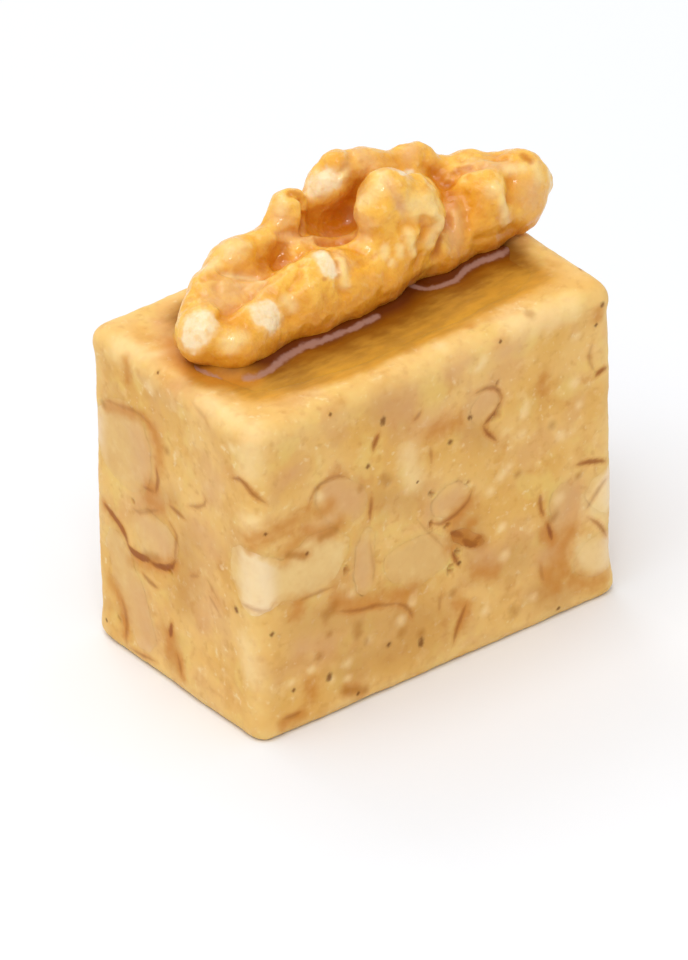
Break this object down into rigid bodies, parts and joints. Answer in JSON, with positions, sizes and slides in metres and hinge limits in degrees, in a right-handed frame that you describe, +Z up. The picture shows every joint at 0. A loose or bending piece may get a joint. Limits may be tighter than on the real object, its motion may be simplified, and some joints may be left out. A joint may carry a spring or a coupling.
{
  "type": "walnut date confection",
  "caption": "Upright rounded block of pale nut and date paste with walnut pieces in its cut sides, a glazed walnut kernel half and a film of syrup on top.",
  "frame": {"origin": "middle of the block's flat underside", "axes": "+X along the block's long side, -Y towards the viewer of the long cut side, +Z up"},
  "size_m": [0.0345, 0.0196, 0.0342],
  "materials": {
    "paste": "soft, slightly oily pale golden nut and date paste, cut smooth",
    "nut_piece": "cut walnut flesh, cream to tan, with thin brown skin at its edge",
    "walnut_kernel": "golden walnut kernel under a shiny sugar glaze",
    "syrup": "clear amber syrup, wet and glossy"
  },
  "bodies": {
    "root": {"nut_back_1": "nut_piece", "nut_back_2": "nut_piece", "nut_back_3": "nut_piece", "nut_back_4": "nut_piece", "nut_back_5": "nut_piece", "nut_back_6": "nut_piece", "nut_front_1": "nut_piece", "nut_front_10": "nut_piece", "nut_front_2": "nut_piece", "nut_front_3": "nut_piece", "nut_front_4": "nut_piece", "nut_front_5": "nut_piece", "nut_front_6": "nut_piece", "nut_front_7": "nut_piece", "nut_front_8": "nut_piece", "nut_front_9": "nut_piece", "nut_left_1": "nut_piece", "nut_left_2": "nut_piece", "nut_left_3": "nut_piece", "nut_right_1": "nut_piece", "nut_right_2": "nut_piece", "nut_right_3": "nut_piece", "nut_right_4": "nut_piece", "paste_block": "paste", "syrup_film": "syrup", "walnut_kernel": "walnut_kernel"}
  },
  "joints": []
}
